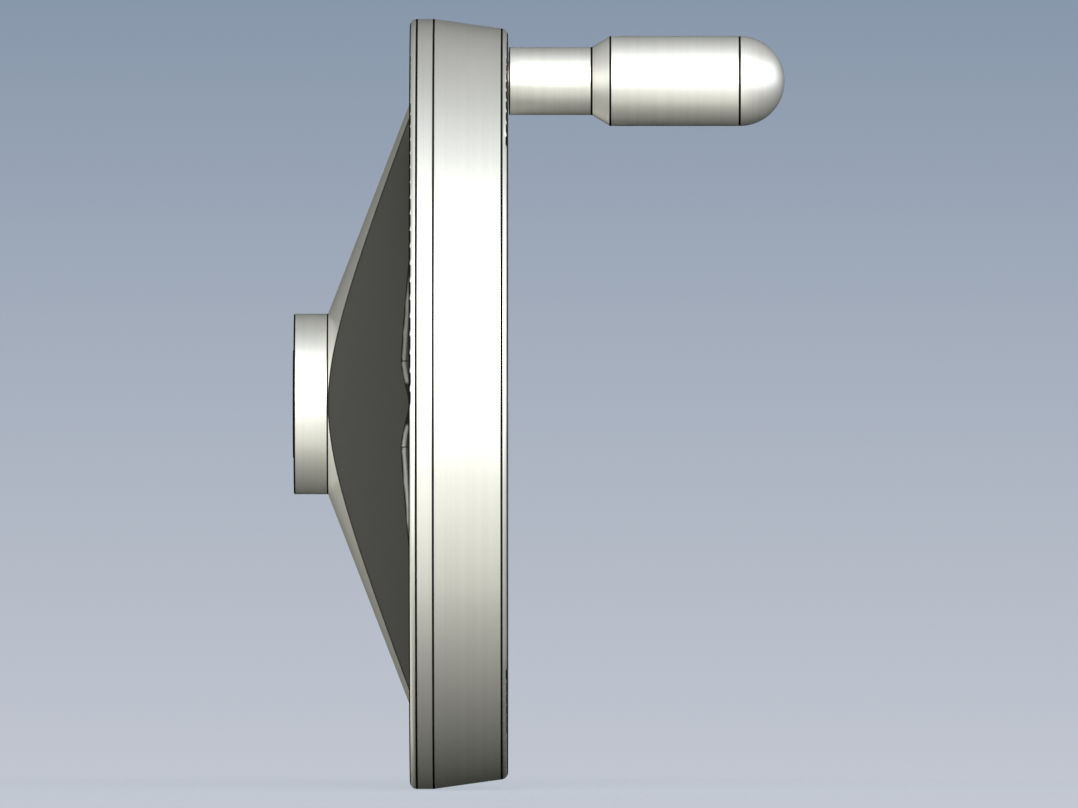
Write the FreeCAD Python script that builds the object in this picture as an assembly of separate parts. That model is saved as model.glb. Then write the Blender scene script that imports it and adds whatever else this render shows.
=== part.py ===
import FreeCAD, Part
import math
import os
from FreeCAD import Vector

# Two-spoke machine handwheel with a revolving grip.
#
# The wheel stands upright, as it does on a horizontal shaft. The origin is on the
# shaft axis at the back face of the hub bush, where a shaft's shoulder seats.
# Depth is measured from there along -Y, towards the operator. +Z points up,
# through the grip. Lengths are in millimetres and angles in degrees.

# Wheel
wheel_diameter = 160.0
rim_width = 20.4          # along the shaft
rim_thickness = 22.4      # from the inner wall to the widest part
rim_land = 5.0            # straight stretch of the rim, from its back face
rim_taper = 8.0           # slope of the rim from the land to the front face
rim_outer_rounding = 1.5
rim_inner_rounding = 2.0
rim_setback = 24.1        # from the hub's back face to the rim's back face

# Hub
hub_diameter = 37.5
hub_collar = 7.1          # straight stretch of the hub behind the spokes
hub_boss = 5.9            # how far the hub stands out in front of the spokes
hub_foot_rounding = 0.4   # hollow round the boss, where it meets the spokes' front
hub_front_chamfer = 0.8
hub_back_chamfer = 0.2

# Spokes, one broad bar just wider than the hub
cone_foot = 17.4          # from the rim's widest part in to the end of the back cone
spoke_front_angle = 6.2   # rise of the spokes' front towards the rim
spoke_step = 0.1          # how far each flank stands outside the hub
spoke_rounding = 1.9      # along the front edges of both flanks

# Hub bush
bush_diameter = 22.4
bush_proud = 0.2          # behind the hub's back face
bore_diameter = 14.0
bore_chamfer = 0.5
key_width = 5.0
key_depth = 2.3           # from the bore's wall to the floor of the keyway

# Set screw over the keyway
set_screw_diameter = 5.0
set_screw_length = 8.0
set_screw_recess = 1.3    # below the hub's surface
set_screw_socket = 2.5    # across the flats
set_screw_socket_depth = 2.5

# Grip, a turned sleeve with a domed end cap
grip_inset = 12.9         # from the rim's widest part in to the grip's axis
neck_diameter = 14.1
neck_length = 17.35
neck_flare = 3.85         # length of the cone between neck and body
grip_diameter = 18.7
body_length = 26.9
edge_break = 0.12         # on both sides of the seam between sleeve and cap

# End cap
cap_spigot = 5.5
cap_spigot_wall = 1.5
cap_bore_past_seam = 3.0
cap_clearance = 1.6       # between the axle's head and the spigot

# Axle, a shoulder screw
axle_diameter = 8.0
thread_diameter = 6.0
thread_length = 11.5
head_diameter = 12.5
head_height = 5.0
head_chamfer = 0.4
head_socket = 4.0         # across the flats
head_socket_depth = 3.0
head_recess_clearance = 0.75

# Washer under the head
washer_diameter = 13.0
washer_thickness = 1.0

# Flanged plain bushes, one at each end of the sleeve
bearing_wall = 1.0
bearing_length = 12.0     # without the flange
flange_diameter = 12.0
flange_thickness = 1.0
flange_proud = 0.1        # the flange, and not the sleeve, runs on the rim
sleeve_relief = 0.4       # between the axle and the sleeve, between the bushes

# Threaded insert in the rim
insert_diameter = 10.0
insert_length = 14.0
insert_floor = 1.0
insert_chamfer = 0.4

# Clearances
running_clearance = 0.05  # between the axle and each bush, radially
end_play = 0.1            # at each end of the grip

# Places along the shaft
hub_back = bush_proud
collar_end = hub_back + hub_collar
rim_back = hub_back + rim_setback
rim_front = rim_back + rim_width
hub_front = rim_back + hub_boss

# Places across the wheel
rim_outer_radius = wheel_diameter / 2
rim_inner_radius = rim_outer_radius - rim_thickness
hub_radius = hub_diameter / 2
flank = hub_radius + spoke_step
cone_foot_radius = rim_outer_radius - cone_foot
grip_height = rim_outer_radius - grip_inset

# Places along the grip, measured from the rim's front face
sleeve_start = end_play + flange_proud
body_start = neck_length + neck_flare
seam = body_start + body_length
head_seat = seam - cap_spigot - cap_clearance - head_height
recess_floor = head_seat - washer_thickness - end_play - flange_thickness

# Radii in the grip
bearing_bore = axle_diameter / 2 + running_clearance
bearing_seat = bearing_bore + bearing_wall
recess_radius = head_diameter / 2 + head_recess_clearance

WHEEL_AXIS = Vector(0, 1, 0)


def outline(corners, place):
    """A closed flat face. A corner is (a, b) or (a, b, rounding); place turns (a, b) into a point."""
    points = [place(corner[0], corner[1]) for corner in corners]
    count = len(points)
    arcs = []
    for index, corner in enumerate(corners):
        here = points[index]
        rounding = corner[2] if len(corner) > 2 else 0.0
        if rounding == 0.0:
            arcs.append((here, None, here))
            continue
        back = (points[index - 1] - here).normalize()
        ahead = (points[(index + 1) % count] - here).normalize()
        half_angle = back.getAngle(ahead) / 2
        reach = rounding / math.tan(half_angle)
        inward = (back + ahead).normalize() * (rounding / math.sin(half_angle) - rounding)
        arcs.append((here + back * reach, here + inward, here + ahead * reach))
    edges = []
    for index, (start, middle, end) in enumerate(arcs):
        if middle is not None:
            edges.append(Part.Arc(start, middle, end).toShape())
        following = arcs[(index + 1) % count][0]
        if end.distanceToPoint(following) > 1e-6:
            edges.append(Part.LineSegment(end, following).toShape())
    return Part.Face(Part.Wire(edges))


def turned(corners, height=0.0):
    """A solid of revolution about an axis along Y. Corners are (depth, radius)."""
    face = outline(corners, lambda depth, radius: Vector(0, -depth, height + radius))
    return face.revolve(Vector(0, 0, height), WHEEL_AXIS, 360)


def on_grip(corners):
    """A solid turned about the grip's axis. Corners are (distance from the rim's front, radius)."""
    shifted = [(rim_front + corner[0],) + tuple(corner[1:]) for corner in corners]
    return turned(shifted, grip_height)


def hexagon(across_flats, centre, direction, depth):
    """A six-sided prism from centre along direction."""
    corner_radius = across_flats / math.sqrt(3)
    side = Vector(0, 0, 1)
    points = []
    for index in range(7):
        turn = FreeCAD.Rotation(direction, 60 * index)
        points.append(centre + turn.multVec(side) * corner_radius)
    return Part.Face(Part.makePolygon(points)).extrude(direction * depth)


def cylinder(diameter, base, direction, length):
    return Part.makeCylinder(diameter / 2, length, base, direction)


def slab(half_width, half_height, depth_from, depth_to):
    """A box centred on the shaft axis, as seen from the front."""
    corner = Vector(-half_width, -depth_to, -half_height)
    return Part.makeBox(2 * half_width, depth_to - depth_from, 2 * half_height, corner)


def depth_of(edge):
    """Depth of the middle of an edge's bounding box."""
    return -edge.BoundBox.Center.y


def spoke_front(radius):
    """Depth of the spokes' front surface, level with the rim's back face at the hub."""
    return rim_back + (radius - hub_radius) * math.tan(math.radians(spoke_front_angle))


def rim():
    front_radius = rim_outer_radius - (rim_width - rim_land) * math.tan(math.radians(rim_taper))
    return turned([
        (rim_back, rim_inner_radius, rim_inner_rounding),
        (rim_back, rim_outer_radius, rim_outer_rounding),
        (rim_back + rim_land, rim_outer_radius),
        (rim_front, front_radius, rim_outer_rounding),
        (rim_front, rim_inner_radius, rim_inner_rounding),
    ])


def hub_disc():
    """The hub and the spokes while they are still one turned, dished disc."""
    disc = turned([
        (hub_back, 0),
        (hub_back, hub_radius - hub_back_chamfer),
        (hub_back + hub_back_chamfer, hub_radius),
        (collar_end, hub_radius),
        (rim_back, cone_foot_radius),
        (spoke_front(cone_foot_radius), cone_foot_radius),
        (spoke_front(hub_radius), hub_radius),
        (hub_front - hub_front_chamfer, hub_radius),
        (hub_front, hub_radius - hub_front_chamfer),
        (hub_front, 0),
    ])
    boss_foot = [
        edge for edge in disc.Edges
        if abs(depth_of(edge) - spoke_front(hub_radius)) < 0.01
        and abs(edge.BoundBox.XLength - hub_diameter) < 0.01
    ]
    return disc.makeFillet(hub_foot_rounding, boss_foot)


def spokes_and_hub():
    """The dished disc cut to one bar with flat flanks. The rounding of each front edge
    follows the spoke, climbs the hollow beside the hub and comes down the other spoke."""
    bar = hub_disc().common(slab(flank, rim_outer_radius, 0, hub_front))
    front_edges = [
        edge for edge in bar.Edges
        if abs(edge.BoundBox.Center.x) > hub_radius
        and edge.BoundBox.ZLength > edge.BoundBox.YLength
        and depth_of(edge) > rim_back
    ]
    return bar.makeFillet(spoke_rounding, front_edges)


def set_screw_hole():
    """The tapped hole from the hub's surface to the keyway, midway along the collar."""
    depth = hub_back + hub_collar / 2
    start = Vector(bore_diameter / 2 + key_depth, -depth, 0)
    return cylinder(set_screw_diameter, start, Vector(1, 0, 0), hub_radius)


def wheel_body():
    body = rim().fuse(spokes_and_hub()).removeSplitter()
    body = body.cut(turned([
        (0, 0),
        (0, bush_diameter / 2),
        (hub_front, bush_diameter / 2),
        (hub_front, 0),
    ]))
    body = body.cut(set_screw_hole())
    return body.cut(on_grip([
        (0, 0),
        (0, insert_diameter / 2),
        (-insert_length, insert_diameter / 2),
        (-insert_length, 0),
    ]))


def hub_bush():
    bore_radius = bore_diameter / 2
    body = turned([
        (0, bore_radius + bore_chamfer),
        (0, bush_diameter / 2),
        (hub_front, bush_diameter / 2),
        (hub_front, bore_radius + bore_chamfer),
        (hub_front - bore_chamfer, bore_radius),
        (bore_chamfer, bore_radius),
    ])
    keyway = Part.makeBox(
        bore_radius + key_depth, hub_front, key_width,
        Vector(0, -hub_front, -key_width / 2),
    )
    return body.cut(keyway).cut(set_screw_hole())


def set_screw():
    depth = hub_back + hub_collar / 2
    outward = Vector(1, 0, 0)
    outer_end = Vector(hub_radius - set_screw_recess, -depth, 0)
    tip = outer_end - outward * set_screw_length
    screw = cylinder(set_screw_diameter, tip, outward, set_screw_length)
    return screw.cut(hexagon(set_screw_socket, outer_end, -outward, set_screw_socket_depth))


def thread_insert():
    return on_grip([
        (-insert_length, 0),
        (-insert_length, insert_diameter / 2),
        (0, insert_diameter / 2),
        (0, thread_diameter / 2 + insert_chamfer),
        (-insert_chamfer, thread_diameter / 2),
        (insert_floor - insert_length, thread_diameter / 2),
        (insert_floor - insert_length, 0),
    ])


def grip_axle():
    axle = on_grip([
        (-thread_length, 0),
        (-thread_length, thread_diameter / 2 - insert_chamfer),
        (insert_chamfer - thread_length, thread_diameter / 2),
        (0, thread_diameter / 2),
        (0, axle_diameter / 2),
        (head_seat, axle_diameter / 2),
        (head_seat, head_diameter / 2),
        (head_seat + head_height - head_chamfer, head_diameter / 2),
        (head_seat + head_height, head_diameter / 2 - head_chamfer),
        (head_seat + head_height, 0),
    ])
    head_end = Vector(0, -(rim_front + head_seat + head_height), grip_height)
    return axle.cut(hexagon(head_socket, head_end, WHEEL_AXIS, head_socket_depth))


def head_washer():
    return on_grip([
        (head_seat - washer_thickness, bearing_bore),
        (head_seat - washer_thickness, washer_diameter / 2),
        (head_seat, washer_diameter / 2),
        (head_seat, bearing_bore),
    ])


def bearing(flange_face, inward):
    """A flanged bush. flange_face is the place of its thrust face; inward is +1 or -1 along the grip."""
    flange_back = flange_face + inward * flange_thickness
    far_end = flange_back + inward * bearing_length
    return on_grip([
        (flange_face, bearing_bore),
        (flange_face, flange_diameter / 2),
        (flange_back, flange_diameter / 2),
        (flange_back, bearing_seat),
        (far_end, bearing_seat),
        (far_end, bearing_bore),
    ])


def inner_bearing():
    return bearing(end_play, 1)


def outer_bearing():
    return bearing(recess_floor + flange_thickness, -1)


def grip_sleeve():
    relief = axle_diameter / 2 + sleeve_relief
    flange_seat = end_play + flange_thickness
    inner_seat_end = flange_seat + bearing_length
    outer_seat_end = recess_floor - bearing_length
    return on_grip([
        (sleeve_start, flange_diameter / 2),
        (sleeve_start, neck_diameter / 2 - edge_break),
        (sleeve_start + edge_break, neck_diameter / 2),
        (neck_length, neck_diameter / 2),
        (body_start, grip_diameter / 2),
        (seam - edge_break, grip_diameter / 2),
        (seam, grip_diameter / 2 - edge_break),
        (seam, recess_radius),
        (recess_floor, recess_radius),
        (recess_floor, bearing_seat),
        (outer_seat_end, bearing_seat),
        (outer_seat_end, relief),
        (inner_seat_end, relief),
        (inner_seat_end, bearing_seat),
        (flange_seat, bearing_seat),
        (flange_seat, flange_diameter / 2),
    ])


def grip_end_cap():
    grip_radius = grip_diameter / 2
    tip = seam + grip_radius
    spigot_bore = recess_radius - cap_spigot_wall
    dome = on_grip([
        (seam, 0),
        (seam, grip_radius),
        (tip, grip_radius, grip_radius),
        (tip, 0),
    ])
    chamfer = on_grip([
        (seam, grip_radius - edge_break),
        (seam + edge_break, grip_radius),
        (seam + edge_break, grip_diameter),
        (seam, grip_diameter),
    ])
    spigot = on_grip([
        (seam - cap_spigot, 0),
        (seam - cap_spigot, recess_radius),
        (seam + edge_break, recess_radius),
        (seam + edge_break, 0),
    ])
    bored = on_grip([
        (seam - cap_spigot, 0),
        (seam - cap_spigot, spigot_bore),
        (seam + cap_bore_past_seam, spigot_bore),
        (seam + cap_bore_past_seam, 0),
    ])
    return dome.cut(chamfer).fuse(spigot).cut(bored).removeSplitter()


PIECES = {
    "wheel_body": wheel_body,
    "hub_bush": hub_bush,
    "set_screw": set_screw,
    "thread_insert": thread_insert,
    "grip_axle": grip_axle,
    "head_washer": head_washer,
    "inner_bearing": inner_bearing,
    "outer_bearing": outer_bearing,
    "grip_sleeve": grip_sleeve,
    "grip_end_cap": grip_end_cap,
}

os.makedirs("parts", exist_ok=True)
for name, make in PIECES.items():
    piece = make()
    piece.exportStep(f"parts/{name}.step")
    print(f"{name}: {len(piece.Solids)} solid, {piece.Volume:.0f} mm3, valid {piece.isValid()}")
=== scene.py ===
# %% [markdown]
# # A machine handwheel, finished as turned aluminium
#
# The object is a small handwheel as it sits on a lathe or a feed screw: a dished aluminium
# wheel with two spokes, a steel bush in the hub, and a handle that spins on its own axle.
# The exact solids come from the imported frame, and this notebook gives each one its finish.
# A turned part gets its look from very fine rings, from the dark lines where the tool
# stopped, and from how softly it spreads the light, so most of the cells build materials.

# %% Load the frame
import bpy
import math
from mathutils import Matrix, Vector


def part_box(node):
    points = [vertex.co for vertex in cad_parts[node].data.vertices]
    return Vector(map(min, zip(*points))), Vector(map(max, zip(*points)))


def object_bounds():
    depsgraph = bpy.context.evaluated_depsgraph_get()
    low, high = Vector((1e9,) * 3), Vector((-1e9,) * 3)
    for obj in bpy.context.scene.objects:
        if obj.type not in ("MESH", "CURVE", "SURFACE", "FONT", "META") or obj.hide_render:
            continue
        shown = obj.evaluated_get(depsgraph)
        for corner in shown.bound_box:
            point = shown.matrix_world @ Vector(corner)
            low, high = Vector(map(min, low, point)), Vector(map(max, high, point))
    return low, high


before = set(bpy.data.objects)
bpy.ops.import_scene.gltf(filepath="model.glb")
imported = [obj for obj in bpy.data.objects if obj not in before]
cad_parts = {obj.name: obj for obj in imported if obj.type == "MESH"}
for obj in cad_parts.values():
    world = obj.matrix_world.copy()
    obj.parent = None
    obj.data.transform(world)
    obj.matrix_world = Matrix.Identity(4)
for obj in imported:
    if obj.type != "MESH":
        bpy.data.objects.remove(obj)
cad_low, cad_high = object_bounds()
print("nodes:", ", ".join(sorted(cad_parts)))
print("CAD box in metres:", tuple(cad_low), tuple(cad_high))

# %% [markdown]
# ## Read the wheel's own places
#
# The finish follows the shape: a line lies where two turned surfaces meet, and the painted
# shade of a flank stops at the edge of a spoke. Those places could be typed in as numbers in
# scene coordinates, but a reader could not check them. Here each is written as a real size in
# millimetres, and what the frame already knows, such as the wheel's diameter and the height of
# the grip, is measured from its boxes. Depth runs along the shaft from the hub's back towards
# the operator, and radius is measured from the axis that a piece was turned about.

# %% Sizes of the turned wheel
MM = 0.001
wheel_low, wheel_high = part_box("wheel_body")
bush_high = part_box("hub_bush")[1]

rim_radius = wheel_high.z / MM
rim_front = -wheel_low.y / MM
rim_width = 20.4
rim_back = rim_front - rim_width
rim_land = 5.0
rim_taper = math.radians(8.0)
rim_rounding = 1.5
rim_inner_radius = 57.6

hub_back = -wheel_high.y / MM
hub_radius = 18.75
collar_end = hub_back + 7.1
cone_foot_radius = 62.6
cone_slope = (rim_back - collar_end) / (cone_foot_radius - hub_radius)
flank = 18.85
flank_rounding = 1.9
hub_foot_rounding = 0.4
bush_radius = bush_high.z / MM
print(f"rim radius {rim_radius:.2f}, rim front {rim_front:.2f} from the bush's back face")

# %% Sizes of the handle
sleeve_low, sleeve_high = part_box("grip_sleeve")

grip_height = (sleeve_high.z + sleeve_low.z) / 2 / MM
grip_radius = (sleeve_high.z - sleeve_low.z) / 2 / MM
neck_radius = 7.05
sleeve_start = -sleeve_high.y / MM
neck_end = rim_front + 17.35
body_start = rim_front + 21.2
seam = -sleeve_low.y / MM
print(f"grip axis {grip_height:.2f} above the shaft, seam at {seam:.2f}")

# %% [markdown]
# ## The camera
#
# The picture looks square at the side of the wheel, with the handle to the right, and its
# lines don't converge. An orthographic camera would do that, but it can't be moved closer
# or further to fit another view. A very long lens from far away flattens the view almost
# as well, and other views can still fit the object by their distance.

# %% Camera
PICTURE_WIDTH = 1078
PICTURE_HEIGHT = 808
WHEEL_PIXELS = 770
HUB_BACK_COLUMN = 293
LENS = 1100.0
SENSOR = 36.0

mm_per_pixel = 2 * rim_radius / WHEEL_PIXELS
view_width = PICTURE_WIDTH * mm_per_pixel
camera_depth = (PICTURE_WIDTH / 2 - HUB_BACK_COLUMN) * mm_per_pixel
camera_distance = view_width * MM * LENS / SENSOR

camera_data = bpy.data.cameras.new("side_camera")
camera_data.lens = LENS
camera_data.sensor_width = SENSOR
camera_data.clip_start = 1.0
camera_data.clip_end = 4 * camera_distance
camera = bpy.data.objects.new("side_camera", camera_data)
camera.location = (-camera_distance, -camera_depth * MM, 0.0)
camera.rotation_euler = (math.radians(90), 0.0, math.radians(-90))
bpy.context.scene.collection.objects.link(camera)
bpy.context.scene.camera = camera
print(f"view {view_width:.1f} mm wide from {camera_distance:.2f} m")

# %% [markdown]
# ## Small helpers for shader nodes
#
# Shader graphs written in code get long, because every node needs its settings and its
# links. These helpers make one node, or one sum, a single readable line. A socket that gets
# a number is set to it, and one that gets another node's output is linked to it. The Mix
# node has sockets of one name for every kind of value, so its colours go by number.

# %% Node helpers
MIX_FIRST, MIX_SECOND, MIX_RESULT = 6, 7, 2


def feed(tree, node, inputs):
    """Fills a node's inputs. inputs maps a name or number to a value or to another socket."""
    for name, value in inputs.items():
        if isinstance(value, bpy.types.NodeSocket):
            tree.links.new(value, node.inputs[name])
        else:
            node.inputs[name].default_value = value


def place(tree, kind, inputs=None, **settings):
    """Adds a shader node with its inputs and settings."""
    made = tree.nodes.new("ShaderNode" + kind)
    for name, value in settings.items():
        setattr(made, name, value)
    feed(tree, made, inputs or {})
    return made


def maths(tree, operation, *values):
    """One Math node, and its result."""
    return place(tree, "Math", dict(enumerate(values)), operation=operation).outputs[0]


def hypotenuse(tree, first, second):
    """The long side of a right-angled triangle, from its two short ones."""
    squares = [maths(tree, "MULTIPLY", leg, leg) for leg in (first, second)]
    return maths(tree, "SQRT", maths(tree, "ADD", *squares))


# %% Helpers for shades, colours and noise


def ramp(tree, value, low, high, from_value=0.0, to_value=1.0):
    """Turns a value from low to high smoothly into one from from_value to to_value."""
    inputs = {"Value": value, "From Min": low, "From Max": high, "To Min": from_value, "To Max": to_value}
    return place(tree, "MapRange", inputs, interpolation_type="SMOOTHSTEP").outputs["Result"]


def blend_colours(tree, share, first, second):
    """first where share is 0 and second where it is 1."""
    inputs = {"Factor": share, MIX_FIRST: first, MIX_SECOND: second}
    return place(tree, "Mix", inputs, data_type="RGBA").outputs[MIX_RESULT]


def noise(tree, point, scale, detail, roughness=0.5, dimensions="3D"):
    """Soft noise between 0 and 1, with about scale bumps to one unit of length."""
    inputs = {"Vector": point, "Scale": scale, "Detail": detail, "Roughness": roughness}
    return place(tree, "TexNoise", inputs, noise_dimensions=dimensions).outputs["Fac"]


# %% Helpers for groups and materials
RELIEF = 0.1 * MM


def start_group(name, inputs, outputs):
    """An empty node group. inputs maps each input's name to its default; outputs lists the results."""
    tree = bpy.data.node_groups.new(name, "ShaderNodeTree")
    for label, value in inputs.items():
        socket = tree.interface.new_socket(label, in_out="INPUT", socket_type="NodeSocketFloat")
        socket.default_value = value
    for label in outputs:
        tree.interface.new_socket(label, in_out="OUTPUT", socket_type="NodeSocketFloat")
    return tree, tree.nodes.new("NodeGroupInput").outputs, tree.nodes.new("NodeGroupOutput")


def use_group(tree, group, inputs=None):
    """Places a group in a material, and gives its outputs."""
    return place(tree, "Group", inputs, node_tree=group).outputs


def start_material(name):
    """A new material, with its nodes and its shader."""
    material = bpy.data.materials.new(name)
    material.use_nodes = True
    return material, material.node_tree, material.node_tree.nodes["Principled BSDF"]


def relief(tree, height, strength):
    """The normal of a surface with a relief that is too shallow to model."""
    inputs = {"Height": height, "Strength": strength, "Distance": RELIEF}
    return place(tree, "Bump", inputs).outputs["Normal"]


print(f"a relief of height 1 stands for {RELIEF / MM:.1f} mm")

# %% [markdown]
# ## Lathe coordinates
#
# Everything on a turned part depends on two numbers: how far along the axis a point lies
# and how far out it is. This group works both out in millimetres from the object's own
# coordinates. The wheel and the grip were turned about different axes, so the height of
# the axis is an input.

# %% Group: lathe coordinates
lathe, given, result = start_group(
    "lathe_coordinates", {"Axis Height": 0.0}, ["Depth", "Radius", "Across", "Up"]
)
position = place(lathe, "TexCoord").outputs["Object"]
axes = place(lathe, "SeparateXYZ", {0: position}).outputs
across = maths(lathe, "DIVIDE", axes["X"], MM)
depth = maths(lathe, "DIVIDE", axes["Y"], -MM)
up = maths(lathe, "SUBTRACT", maths(lathe, "DIVIDE", axes["Z"], MM), given["Axis Height"])
feed(lathe, result, {"Depth": depth, "Radius": hypotenuse(lathe, across, up), "Across": across, "Up": up})
print(f"{lathe.name}: {len(lathe.nodes)} nodes")

# %% [markdown]
# ## Turning marks
#
# A lathe tool leaves a fine spiral that reads as rings. A wave texture would give rings of
# one perfect pitch, which looks printed. Noise that is read at the point's depth and
# radius alone is the same all the way round, so it makes rings too, but of uneven strength.
# Two sizes are mixed: the tool's fine feed, and a slower waviness of the finishing cut.

# %% Group: turning marks
FINE_SHARE = 0.45
SLOW_SCALE = 0.14
marks, given, result = start_group(
    "turning_marks", {"Depth": 0.0, "Radius": 0.0, "Pitch": 0.25}, ["Height", "Shade"]
)
profile = place(marks, "CombineXYZ", {"X": given["Depth"], "Y": given["Radius"]}).outputs[0]
per_pitch = maths(marks, "DIVIDE", 1.0, given["Pitch"])
slow_scale = maths(marks, "MULTIPLY", per_pitch, SLOW_SCALE)
fine = noise(marks, profile, per_pitch, detail=2.0, roughness=0.6, dimensions="2D")
slow = noise(marks, profile, slow_scale, detail=2.0, dimensions="2D")
fine_part = maths(marks, "MULTIPLY", fine, FINE_SHARE)
slow_part = maths(marks, "MULTIPLY", slow, 1 - FINE_SHARE)
feed(marks, result, {"Height": fine, "Shade": maths(marks, "ADD", fine_part, slow_part)})
print(f"{marks.name}: {len(marks.nodes)} nodes")

# %% [markdown]
# ## Tool stops
#
# Where one turned surface ends and the next begins, the tool dwells and leaves a fine
# groove, and polish and grease collect in it as a thin dark line. Each such line is a
# circle, so on the section it is one point with a depth and a radius. The group measures
# how far the surface is from that point, in half widths, and keeps what is nearer than one.
# Beyond that the line fades. Where a rounding runs out into a flat face, the surface is seen
# almost edge on from the side, and a line as narrow as the others wouldn't show there. So a
# line has one width along the depth and one along the radius, and the group takes both.

# %% Group: tool stop
LINE = 0.4
LINE_FADE = 0.4
stop, given, result = start_group(
    "tool_stop",
    {"Depth": 0.0, "Radius": 0.0, "At Depth": 0.0, "At Radius": 0.0, "Depth Width": LINE,
     "Radius Width": LINE, "Fade": LINE_FADE},
    ["Mask"],
)
half_depth = maths(stop, "MULTIPLY", given["Depth Width"], 0.5)
half_radius = maths(stop, "MULTIPLY", given["Radius Width"], 0.5)
along = maths(stop, "DIVIDE", maths(stop, "SUBTRACT", given["Depth"], given["At Depth"]), half_depth)
outward = maths(stop, "DIVIDE", maths(stop, "SUBTRACT", given["Radius"], given["At Radius"]), half_radius)
faded = maths(stop, "ADD", given["Fade"], 1.0)
feed(stop, result, {"Mask": ramp(stop, hypotenuse(stop, along, outward), 1.0, faded, 1.0, 0.0)})
print(f"{stop.name}: {len(stop.nodes)} nodes")

# %% [markdown]
# ## Handling and grain
#
# Bare metal that is touched every day is never even: faint patches are a little duller
# where hands leave grease. A cast or painted surface has a pebbled skin instead. One group
# gives both, from three-dimensional noise, because neither follows the lathe's axis.

# %% Group: patches and skin
patches, given, result = start_group(
    "patches_and_skin", {"Patch Size": 20.0, "Grain Size": 0.6}, ["Patches", "Grain"]
)
position = place(patches, "TexCoord").outputs["Object"]
millimetres = place(patches, "VectorMath", {0: position, "Scale": 1 / MM}, operation="SCALE").outputs[0]
large = noise(patches, millimetres, maths(patches, "DIVIDE", 1.0, given["Patch Size"]), detail=3.0)
small = noise(
    patches, millimetres, maths(patches, "DIVIDE", 1.0, given["Grain Size"]), detail=3.0, roughness=0.55
)
feed(patches, result, {"Patches": large, "Grain": small})
print(f"{patches.name}: {len(patches.nodes)} nodes")

# %% [markdown]
# ## Turned metal
#
# All the bright pieces share this recipe. The metal's colour is darkened a little by the
# rings and the patches, and strongly in the tool stops. Roughness follows the same values,
# so that the rings glint. The rings are also a bump, far too shallow to model. Metal
# without polish spreads light widely, which gives a turned cylinder its broad white band.
# Its surface is part bare metal and part dull skin, so Metallic stays below 1, and the skin
# has no gloss of its own. A thin clear lacquer keeps it from tarnish. Seen flat on, a
# lacquer changes little, but at the edge of a cylinder it mirrors the dark room instead of
# letting the light through to the metal, and so the edges go dark.

# %% Lines of a turned piece
# Each kind of line: its width along the depth and along the radius in millimetres, and its
# fade as a share of half its width.
GROOVE = (LINE, LINE, LINE_FADE)
CHAMFER = (0.66, 0.66, 0.3)
CORNER = (1.2, 0.8, LINE_FADE)


def stop_lines(tree, here, stops):
    """One mask for all the tool stops of a piece. stops lists (depth, radius, kind of line)."""
    lines = None
    for depth, radius, (depth_width, radius_width, fade) in stops:
        mask = use_group(tree, stop, {
            "Depth": here["Depth"], "Radius": here["Radius"], "At Depth": depth, "At Radius": radius,
            "Depth Width": depth_width, "Radius Width": radius_width, "Fade": fade,
        })["Mask"]
        lines = mask if lines is None else maths(tree, "MAXIMUM", lines, mask)
    return lines


# %% Turned metal
# Each effect of the rings and the patches: the two shades that it changes between, and then
# its value at both.
RING_TINT = (0.35, 0.65, 0.0, 1.0)
RING_GLINT = (0.3, 0.7, 0.015, -0.015)
PATCH_TINT = (0.5, 0.75, 0.0, 0.4)
PATCH_DULLING = (0.45, 0.8, 0.0, 0.03)
DARK_RING = 0.95
RING_HEIGHT = 0.05
RING_STRENGTH = 0.2
BARE_SHARE = 0.75
LACQUER_ROUGHNESS = 0.2
GRIME = (0.006, 0.006, 0.0055, 1.0)
GRIME_DULLING = 0.3
GROOVE_DEPTH = 0.6


def turned_metal(name, colour, roughness, axis_height=0.0, stops=(), pitch=0.25):
    """A material for a piece turned about the axis at axis_height."""
    material, tree, shader = start_material(name)
    here = use_group(tree, lathe, {"Axis Height": axis_height})
    rings = use_group(tree, marks, {"Depth": here["Depth"], "Radius": here["Radius"], "Pitch": pitch})
    worn = use_group(tree, patches)
    bright = (*colour, 1.0)
    darker = (*(DARK_RING * value for value in colour), 1.0)
    metal = blend_colours(tree, ramp(tree, rings["Shade"], *RING_TINT), darker, bright)
    metal = blend_colours(tree, ramp(tree, worn["Patches"], *PATCH_TINT), metal, darker)
    smooth = maths(tree, "ADD", ramp(tree, rings["Shade"], *RING_GLINT), roughness)
    smooth = maths(tree, "ADD", smooth, ramp(tree, worn["Patches"], *PATCH_DULLING))
    height = maths(tree, "MULTIPLY", rings["Height"], RING_HEIGHT)
    feed(tree, shader, {
        "Specular IOR Level": 0.0, "Metallic": BARE_SHARE,
        "Coat Weight": 1.0, "Coat Roughness": LACQUER_ROUGHNESS,
    })
    if stops:
        lines = stop_lines(tree, here, stops)
        metal = blend_colours(tree, lines, metal, GRIME)
        smooth = maths(tree, "ADD", smooth, maths(tree, "MULTIPLY", lines, GRIME_DULLING))
        height = maths(tree, "SUBTRACT", height, maths(tree, "MULTIPLY", lines, GROOVE_DEPTH))
        feed(tree, shader, {
            "Metallic": ramp(tree, lines, 0.0, 1.0, BARE_SHARE, 0.0),
            "Coat Weight": ramp(tree, lines, 0.0, 1.0, 1.0, 0.0),
        })
    normal = relief(tree, height, RING_STRENGTH)
    feed(tree, shader, {"Base Color": metal, "Roughness": smooth, "Normal": normal})
    print(f"{name}: {len(tree.nodes)} nodes, {len(stops)} lines")
    return material


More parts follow.
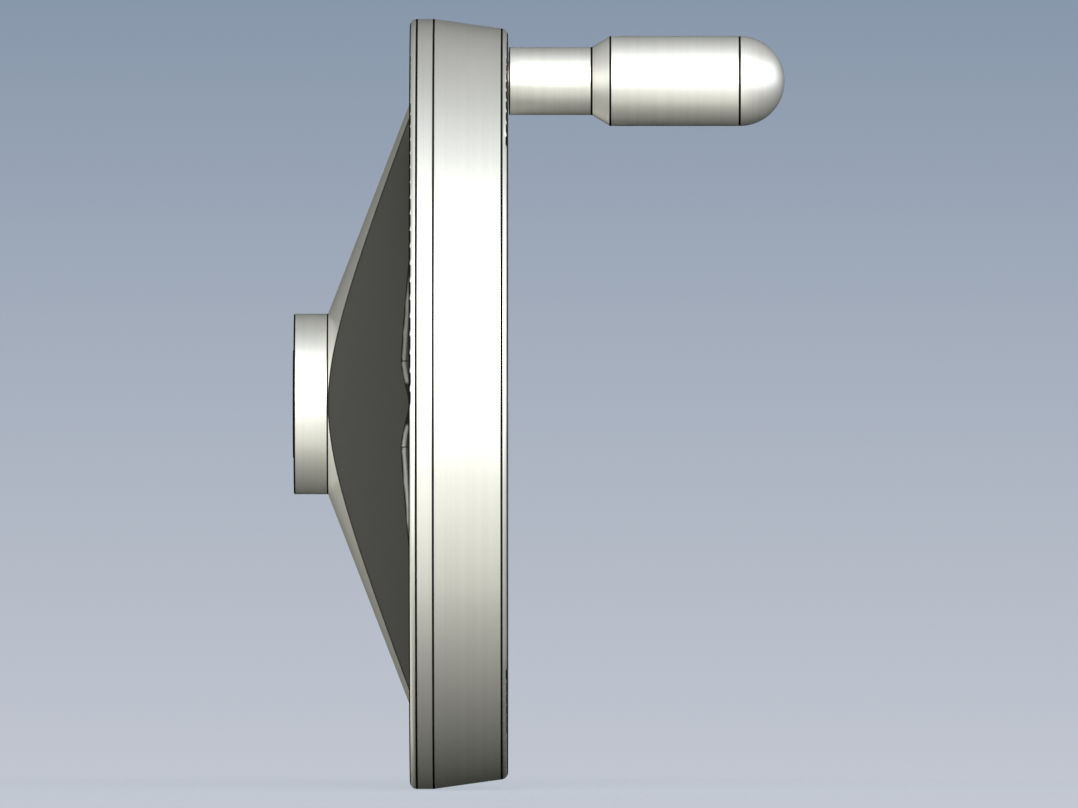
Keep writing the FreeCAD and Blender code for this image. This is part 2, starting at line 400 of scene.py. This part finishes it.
# %% [markdown]
# ## The wheel casting
#
# The wheel is one casting that was turned wherever a lathe can reach: the rim, the hub, the
# cone behind the spokes and the dish in front. The tool stops lie at the ends of the rim's
# roundings, at the crease between its land and its taper, and at the ends of the hub's
# collar. Most of them are grooves. The edge at the hub's back has a small chamfer, which is
# dark right across. The two lines where the rim's roundings run out into its flat faces are
# corners, and lie a little up the rounding, where they are seen from the side too.

# %% Turned wheel
IVORY_METAL = (0.82, 0.82, 0.75)
FINE_TURNED = 0.50
CORNER_OFFSET = 0.4
rim_front_radius = rim_radius - (rim_width - rim_land) * math.tan(rim_taper)
taper_reach = rim_rounding * math.tan((math.pi / 2 - rim_taper) / 2)
taper_end = rim_front - taper_reach * math.cos(rim_taper)
taper_end_radius = rim_front_radius + taper_reach * math.sin(rim_taper)
wheel_stops = [
    (hub_back, hub_radius, CHAMFER),
    (collar_end, hub_radius, GROOVE),
    (rim_back, rim_radius - rim_rounding + CORNER_OFFSET, CORNER),
    (rim_back + rim_rounding, rim_radius, GROOVE),
    (rim_back + rim_land, rim_radius, GROOVE),
    (taper_end, taper_end_radius, GROOVE),
    (rim_front, rim_front_radius - taper_reach + CORNER_OFFSET, CORNER),
]
turned_wheel = turned_metal("turned_wheel", IVORY_METAL, FINE_TURNED, stops=wheel_stops)

# %% [markdown]
# ## Painted shade on the flanks
#
# The lathe can't reach the flat flanks of the spokes. They keep their casting skin, coloured
# dark grey as painted shade with a little random mottle, and that colour is masked off at the
# turned cone. A dark line of filler and dust follows that edge. The line's mask is the depth
# of a point below the cone, which is a straight formula in the radius.

# %% Flank with painted shade
# The flanks' two dark tones are painted shade, mixed between at random.
FLANK_DARK_TONE = (0.0225, 0.0225, 0.019, 1.0)
FLANK_LIGHT_TONE = (0.026, 0.026, 0.022, 1.0)
FLANK_TONE_MOTTLE = (0.3, 0.7, 0.0, 1.0)
FLANK_ROUGHNESS = (0.3, 0.7, 0.55, 0.65)
FLANK_GLOSS = 0.25
CONE_LINE_SOLID = 0.7 * LINE


def flank_painted_shade():
    """Dark grey painted shade over the casting's skin, with a line along the edge of the turned cone."""
    material, tree, shader = start_material("flank_painted_shade")
    here = use_group(tree, lathe)
    worn = use_group(tree, patches, {"Patch Size": 12.0, "Grain Size": 0.5})
    cone_start = collar_end - cone_slope * hub_radius
    cone_depth = maths(tree, "MULTIPLY_ADD", here["Radius"], cone_slope, cone_start)
    below_cone = maths(tree, "SUBTRACT", here["Depth"], cone_depth)
    line = ramp(tree, below_cone, CONE_LINE_SOLID, LINE, 1.0, 0.0)
    # The flank's dark grey is painted shade.
    paint = blend_colours(tree, ramp(tree, worn["Patches"], *FLANK_TONE_MOTTLE), FLANK_DARK_TONE, FLANK_LIGHT_TONE)
    feed(tree, shader, {
        "Base Color": blend_colours(tree, line, paint, GRIME),
        "Roughness": ramp(tree, worn["Patches"], *FLANK_ROUGHNESS),
        "Specular IOR Level": FLANK_GLOSS,
        "Normal": relief(tree, worn["Grain"], strength=0.25),
    })
    print(f"{material.name}: {len(tree.nodes)} nodes")
    return material


shaded_flank_material = flank_painted_shade()

# %% [markdown]
# ## The dressed edges
#
# The long front edges of the spokes were rounded off by hand. Their colour paints the light
# and shade of the rounding: a narrow stripe near the flank keeps the pale cast metal as a
# painted highlight, next to it a thin band is painted dark as shade, and then the dull metal
# runs out into the turned front. The spoke below the hub, which is the one opposite the
# handle, is painted brighter as painted light. Near the hub the rounding climbs over the boss,
# and that hollow is painted black as shade. Each of these is a mask along one direction:
# sideways for the line beside the flank, the stripe and the band, and up and down for the rest.

# %% Where the rounding climbs over the boss
climb_start = math.sqrt((hub_radius + hub_foot_rounding) ** 2 - (flank - flank_rounding) ** 2)
# How far out from the hub's middle the painted shade in the hollow reaches.
hollow_shade_reach = climb_start / 2
print(f"the rounding climbs {climb_start:.2f} mm from the hub's middle, and is painted_black within {hollow_shade_reach:.2f}")

# %% Dressed edge
# Distances inward from the flank in millimetres, each as the start and the end of a change.
SIDE_LINE_END = (0.015, 0.03)
STRIPE_START = (0.0, 0.1)
STRIPE_END = (0.1, 0.5)
BAND_END = (0.85, 1.3)
# Half the height of the line where the climb starts, and of the fade of the painted shade in the hollow, in
# millimetres.
CLIMB_LINE = 0.12
HOLLOW_SHADE_FADE = 0.5
# How much painted light the lower and the upper spoke's edges get, so that the lower one is painted
# brighter.
LOWER_LIGHT_SHARE, UPPER_LIGHT_SHARE = 1.0, 0.62
# The dark tone paints the rounding's shade, and the pale one its lit cast metal.
SHADED_CAST_METAL = (0.035, 0.035, 0.032, 1.0)
LIT_CAST_METAL = (0.28, 0.28, 0.26, 1.0)
CAST_WEAR = (0.2, 0.6, 0.8, 1.0)
CAST_ROUGHNESS = (0.3, 0.7, 0.45, 0.6)
CAST_BARE_SHARE = 0.5
CAST_GLOSS = 0.1


def dressed_edge():
    """Dull cast metal, hand filed, with dark lines at its ends, painted shade across the rounding and in
    the hollow beside the hub, and painted light on the lower spoke.
    """
    material, tree, shader = start_material("dressed_edge")
    here = use_group(tree, lathe)
    worn = use_group(tree, patches, {"Patch Size": 5.0, "Grain Size": 0.4})
    inward = maths(tree, "SUBTRACT", flank, maths(tree, "ABSOLUTE", here["Across"]))
    height = maths(tree, "ABSOLUTE", here["Up"])
    side_line = ramp(tree, inward, *SIDE_LINE_END, 1.0, 0.0)
    climb_line = ramp(tree, maths(tree, "COMPARE", height, climb_start, CLIMB_LINE), 0.0, 1.0)
    # Painted shade in the hollow where the rounding climbs over the boss.
    hollow_shade = ramp(tree, height, hollow_shade_reach - HOLLOW_SHADE_FADE, hollow_shade_reach + HOLLOW_SHADE_FADE, 1.0, 0.0)
    dark = maths(tree, "MAXIMUM", maths(tree, "MAXIMUM", side_line, climb_line), hollow_shade)
    # A bright stripe and then a dark band across the rounding paint its highlight and its shade.
    stripe = maths(tree, "SUBTRACT", ramp(tree, inward, *STRIPE_START), ramp(tree, inward, *STRIPE_END))
    unshaded = maths(tree, "ADD", stripe, ramp(tree, inward, *BAND_END))
    # Painted light: the lower spoke is painted brighter than the upper one.
    lower_lit = ramp(tree, here["Up"], -climb_start, climb_start, LOWER_LIGHT_SHARE, UPPER_LIGHT_SHARE)
    even = ramp(tree, worn["Patches"], *CAST_WEAR)
    lit_and_worn = maths(tree, "MULTIPLY", maths(tree, "MULTIPLY", unshaded, lower_lit), even)
    metal = blend_colours(tree, lit_and_worn, SHADED_CAST_METAL, LIT_CAST_METAL)
    feed(tree, shader, {
        "Base Color": blend_colours(tree, dark, metal, GRIME),
        "Roughness": ramp(tree, worn["Grain"], *CAST_ROUGHNESS),
        "Metallic": ramp(tree, dark, 0.0, 1.0, CAST_BARE_SHARE, 0.0),
        "Specular IOR Level": CAST_GLOSS,
        "Normal": relief(tree, worn["Grain"], strength=0.2),
    })
    print(f"{material.name}: {len(tree.nodes)} nodes")
    return material


edge_metal = dressed_edge()

# %% [markdown]
# ## Bush, screw, axle and bearings
#
# The small parts are turned too, from harder or yellower metals. The bush is faced steel,
# the set screw is blackened, the axle, its washer and the insert are zinc plated, and the
# two bearings are sintered bronze. With the wheel whole, only the bush, the screw and the
# edge of one bearing's flange can be seen, but each piece is finished as it would look on
# the bench. The end of the bush stands a hair proud of the hub, and its edge has gone dark.

# %% Materials of the small parts
STEEL = (0.59, 0.58, 0.54)
BLACKENED = (0.045, 0.045, 0.05)
ZINC = (0.62, 0.64, 0.66)
BRONZE = (0.36, 0.25, 0.13)
bush_stops = [(hub_back / 2, bush_radius, GROOVE)]
faced_steel = turned_metal("faced_steel", STEEL, roughness=0.33, stops=bush_stops, pitch=0.18)
black_oxide = turned_metal("black_oxide", BLACKENED, roughness=0.42, pitch=0.3)
zinc_plate = turned_metal("zinc_plate", ZINC, roughness=0.3, axis_height=grip_height)
oiled_bronze = turned_metal("oiled_bronze", BRONZE, roughness=0.38, axis_height=grip_height)

# %% [markdown]
# ## The handle
#
# The handle is a turned sleeve with a neck, a short cone and a straight body, closed by a
# domed cap. The line at the dome's foot is the real seam between the two pieces. The other
# lines are tool stops, one at the neck's foot by the rim and one at each end of the cone.

# %% Handle material
grip_stops = [
    (sleeve_start, neck_radius, GROOVE),
    (neck_end, neck_radius, GROOVE),
    (body_start, grip_radius, GROOVE),
    (seam, grip_radius, GROOVE),
]
turned_grip = turned_metal("turned_grip", IVORY_METAL, FINE_TURNED, grip_height, grip_stops, pitch=0.2)

# %% [markdown]
# ## Hand the finishes out
#
# A solid from the frame keeps its mesh and only gets new material slots. The casting needs
# three, and each face picks its own by where its middle lies. A flank face lies in the plane
# of a flank and looks straight sideways. A face of the rounding lies within the rounding's
# width of that plane, well in front of the cone behind the spokes, and between the hub's
# boss and the rim. The front leans a little, so the rounding ends slightly further in than
# its radius.

# %% Choose a finish for each face of the casting
TURNED, SHADE_FLANK, DRESSED = range(3)
FACES_SIDEWAYS = 0.9999
FLANK_MARGIN = 0.02
HUB_MARGIN = 0.02
RIM_MARGIN = 0.05
ROUNDING_OVERRUN = 1.02
rounding_reach = ROUNDING_OVERRUN * flank_rounding


def finish_of(face):
    """The slot of the finish that a face of the casting gets."""
    middle = face.center / MM
    depth, sideways, radius = -middle.y, abs(middle.x), math.hypot(middle.x, middle.z)
    below_cone = depth - collar_end - (radius - hub_radius) * cone_slope
    if abs(face.normal.x) > FACES_SIDEWAYS and abs(sideways - flank) < FLANK_MARGIN:
        return SHADE_FLANK
    in_rounding = flank - rounding_reach < sideways < flank and below_cone > flank_rounding
    on_spoke = hub_radius + HUB_MARGIN < radius < rim_inner_radius - RIM_MARGIN
    return DRESSED if in_rounding and on_spoke else TURNED


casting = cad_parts["wheel_body"].data
finishes = [finish_of(face) for face in casting.polygons]
print(
    f"turned faces {finishes.count(TURNED)}, shade_painted {finishes.count(SHADE_FLANK)}, "
    f"dressed {finishes.count(DRESSED)}"
)

# %% Assign the materials


def dress(name, *materials):
    """Gives a CAD node its material slots."""
    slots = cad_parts[name].data.materials
    slots.clear()
    for material in materials:
        slots.append(material)


# The flanks' material is painted shade; the dressed edges carry painted light and shade.
dress("wheel_body", turned_wheel, shaded_flank_material, edge_metal)
for face, finish in zip(casting.polygons, finishes):
    face.material_index = finish
dress("hub_bush", faced_steel)
dress("set_screw", black_oxide)
for name in ("thread_insert", "grip_axle", "head_washer"):
    dress(name, zinc_plate)
for name in ("inner_bearing", "outer_bearing"):
    dress(name, oiled_bronze)
for name in ("grip_sleeve", "grip_end_cap"):
    dress(name, turned_grip)
print("materials handed out to", len(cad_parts), "pieces")

# %% [markdown]
# ## Floor and background
#
# The picture has a plain background that runs from a cool grey-blue above to a pale grey
# below. The world shader does that with a narrow gradient about the horizon. The rays that
# light the metal see a dark grey room instead, darkest below, because polished edges would
# otherwise pick up the background and go pale. The floor is a pale disc that fades before it
# reaches its own edge, so no line crosses the picture. Most of its tone is a faint glow,
# which keeps it as pale behind the wheel as in front. The rest is matt paper, which takes a
# soft shadow. It has no gloss, because that would be a white band when it is seen edge on.

# %% World
BACKGROUND_TOP = (0.246, 0.309, 0.407, 1.0)
BACKGROUND_BOTTOM = (0.546, 0.578, 0.644, 1.0)
ROOM_ABOVE = (0.03, 0.03, 0.03, 1.0)
ROOM_BELOW = (0.008, 0.008, 0.007, 1.0)
ROOM_CHANGE = (-0.2, 0.6)

world = bpy.data.worlds.new("studio")
bpy.context.scene.world = world
world.use_nodes = True
sky = world.node_tree
sky.nodes.clear()
direction = place(sky, "SeparateXYZ", {0: place(sky, "TexCoord").outputs["Generated"]}).outputs["Z"]
half_view = PICTURE_HEIGHT / 2 * mm_per_pixel * MM / camera_distance
climb = place(sky, "MapRange", {"Value": direction, "From Min": -half_view, "From Max": half_view})
backdrop = blend_colours(sky, climb.outputs["Result"], BACKGROUND_BOTTOM, BACKGROUND_TOP)
room = blend_colours(sky, ramp(sky, direction, *ROOM_CHANGE), ROOM_BELOW, ROOM_ABOVE)
seen = place(sky, "LightPath").outputs["Is Camera Ray"]
shown = blend_colours(sky, seen, room, backdrop)
glow = place(sky, "Background", {"Color": shown, "Strength": 1.0}).outputs[0]
place(sky, "OutputWorld", {"Surface": glow})
print(f"the gradient spans {math.degrees(2 * math.atan(half_view)):.2f} degrees about the horizon")

# %% Floor
FLOOR_RADIUS = 0.4
FLOOR_FADE = (0.08, 0.3)
PAPER = (0.08, 0.082, 0.09, 1.0)
PAPER_GLOW = (0.45, 0.49, 0.545, 1.0)

bpy.ops.mesh.primitive_circle_add(
    vertices=128, radius=FLOOR_RADIUS, fill_type="TRIFAN", location=(0, 0, cad_low.z)
)
floor = bpy.context.object
floor.name = "floor"
paper, tree, sheet = start_material("floor_paper")
spot = place(tree, "TexCoord").outputs["Object"]
away = place(tree, "VectorMath", {0: spot}, operation="LENGTH").outputs["Value"]
feed(tree, sheet, {
    "Base Color": PAPER, "Roughness": 1.0, "Specular IOR Level": 0.0,
    "Emission Color": PAPER_GLOW, "Emission Strength": 1.0,
    "Alpha": ramp(tree, away, *FLOOR_FADE, 1.0, 0.0),
})
floor.data.materials.append(paper)
floor.visible_glossy = False
floor.visible_diffuse = False
floor.visible_shadow = False
print(f"floor disc of {2 * FLOOR_RADIUS:.1f} m at height {cad_low.z:.4f}")

# %% [markdown]
# ## Light
#
# Bright turned metal shows its lights as broad bands. The main light is a large soft panel
# on the camera's side, a little above the wheel. One panel stands beside it towards the
# handle and one behind the wheel, and weak ones in front, below and above finish the bands.
# The far side needs light too, for whoever looks from there. But metal that is seen edge on
# mirrors what stands behind it, so a panel there would glint along the wheel's whole
# outline in the picture. The far fill is kept out of reflections, and only lights the dull
# share of the metal. A weak panel low behind the wheel brightens the lower spoke's cone.
# They are area lights, because a small lamp would draw a hard line along each cylinder.
# The Standard view shows each colour as it comes, with no film look laid over it.

# %% Light panels
PANEL_DISTANCE = 1.6
PANEL_WIDTH = 1.3
WHITE = (1.0, 1.0, 1.0)
COOL = (0.79, 0.82, 1.0)
SKY_BLUE = (0.6, 0.7, 1.0)
CREAM = (1.0, 1.0, 0.88)
WARM_CREAM = (1.0, 1.0, 0.85)


def panel(name, azimuth, elevation, height, watts, tint):
    """A soft panel that faces the middle of the wheel. Azimuth 0 stands at -Y, 90 at +X."""
    turn = math.radians(azimuth)
    rise = math.radians(elevation)
    back = Vector((math.sin(turn) * math.cos(rise), -math.cos(turn) * math.cos(rise), math.sin(rise)))
    data = bpy.data.lights.new(name, "AREA")
    data.shape = "RECTANGLE"
    data.size = PANEL_WIDTH
    data.size_y = height
    data.energy = watts
    data.color = tint
    lamp = bpy.data.objects.new(name, data)
    lamp.location = (cad_low + cad_high) / 2 + back * PANEL_DISTANCE
    lamp.rotation_euler = (-back).to_track_quat("-Z", "Y").to_euler()
    bpy.context.scene.collection.objects.link(lamp)
    return lamp


# %% Set up the lights
# Name, azimuth, elevation, height in metres, watts and tint of each panel.
panels = [
    ("main_light", -90, 26, 1.3, 38.5, WHITE),
    ("side_light", -40, 17, 1.2, 15.5, WHITE),
    ("front_light", 0, 15, 1.0, 8.0, COOL),
    ("back_light", -140, 0, 1.0, 22.0, WHITE),
    ("low_light", -90, -42, 1.0, 3.0, CREAM),
    ("top_light", -90, 80, 1.0, 1.7, SKY_BLUE),
    ("far_fill_light", 90, 0, 0.8, 28.0, WHITE),
    ("far_back_light", 148, -28, 1.0, 3.2, WARM_CREAM),
]
lamps = {row[0]: panel(*row) for row in panels}
lamps["far_fill_light"].visible_glossy = False
bpy.context.scene.view_settings.view_transform = "Standard"
print("lights:", ", ".join(lamps))
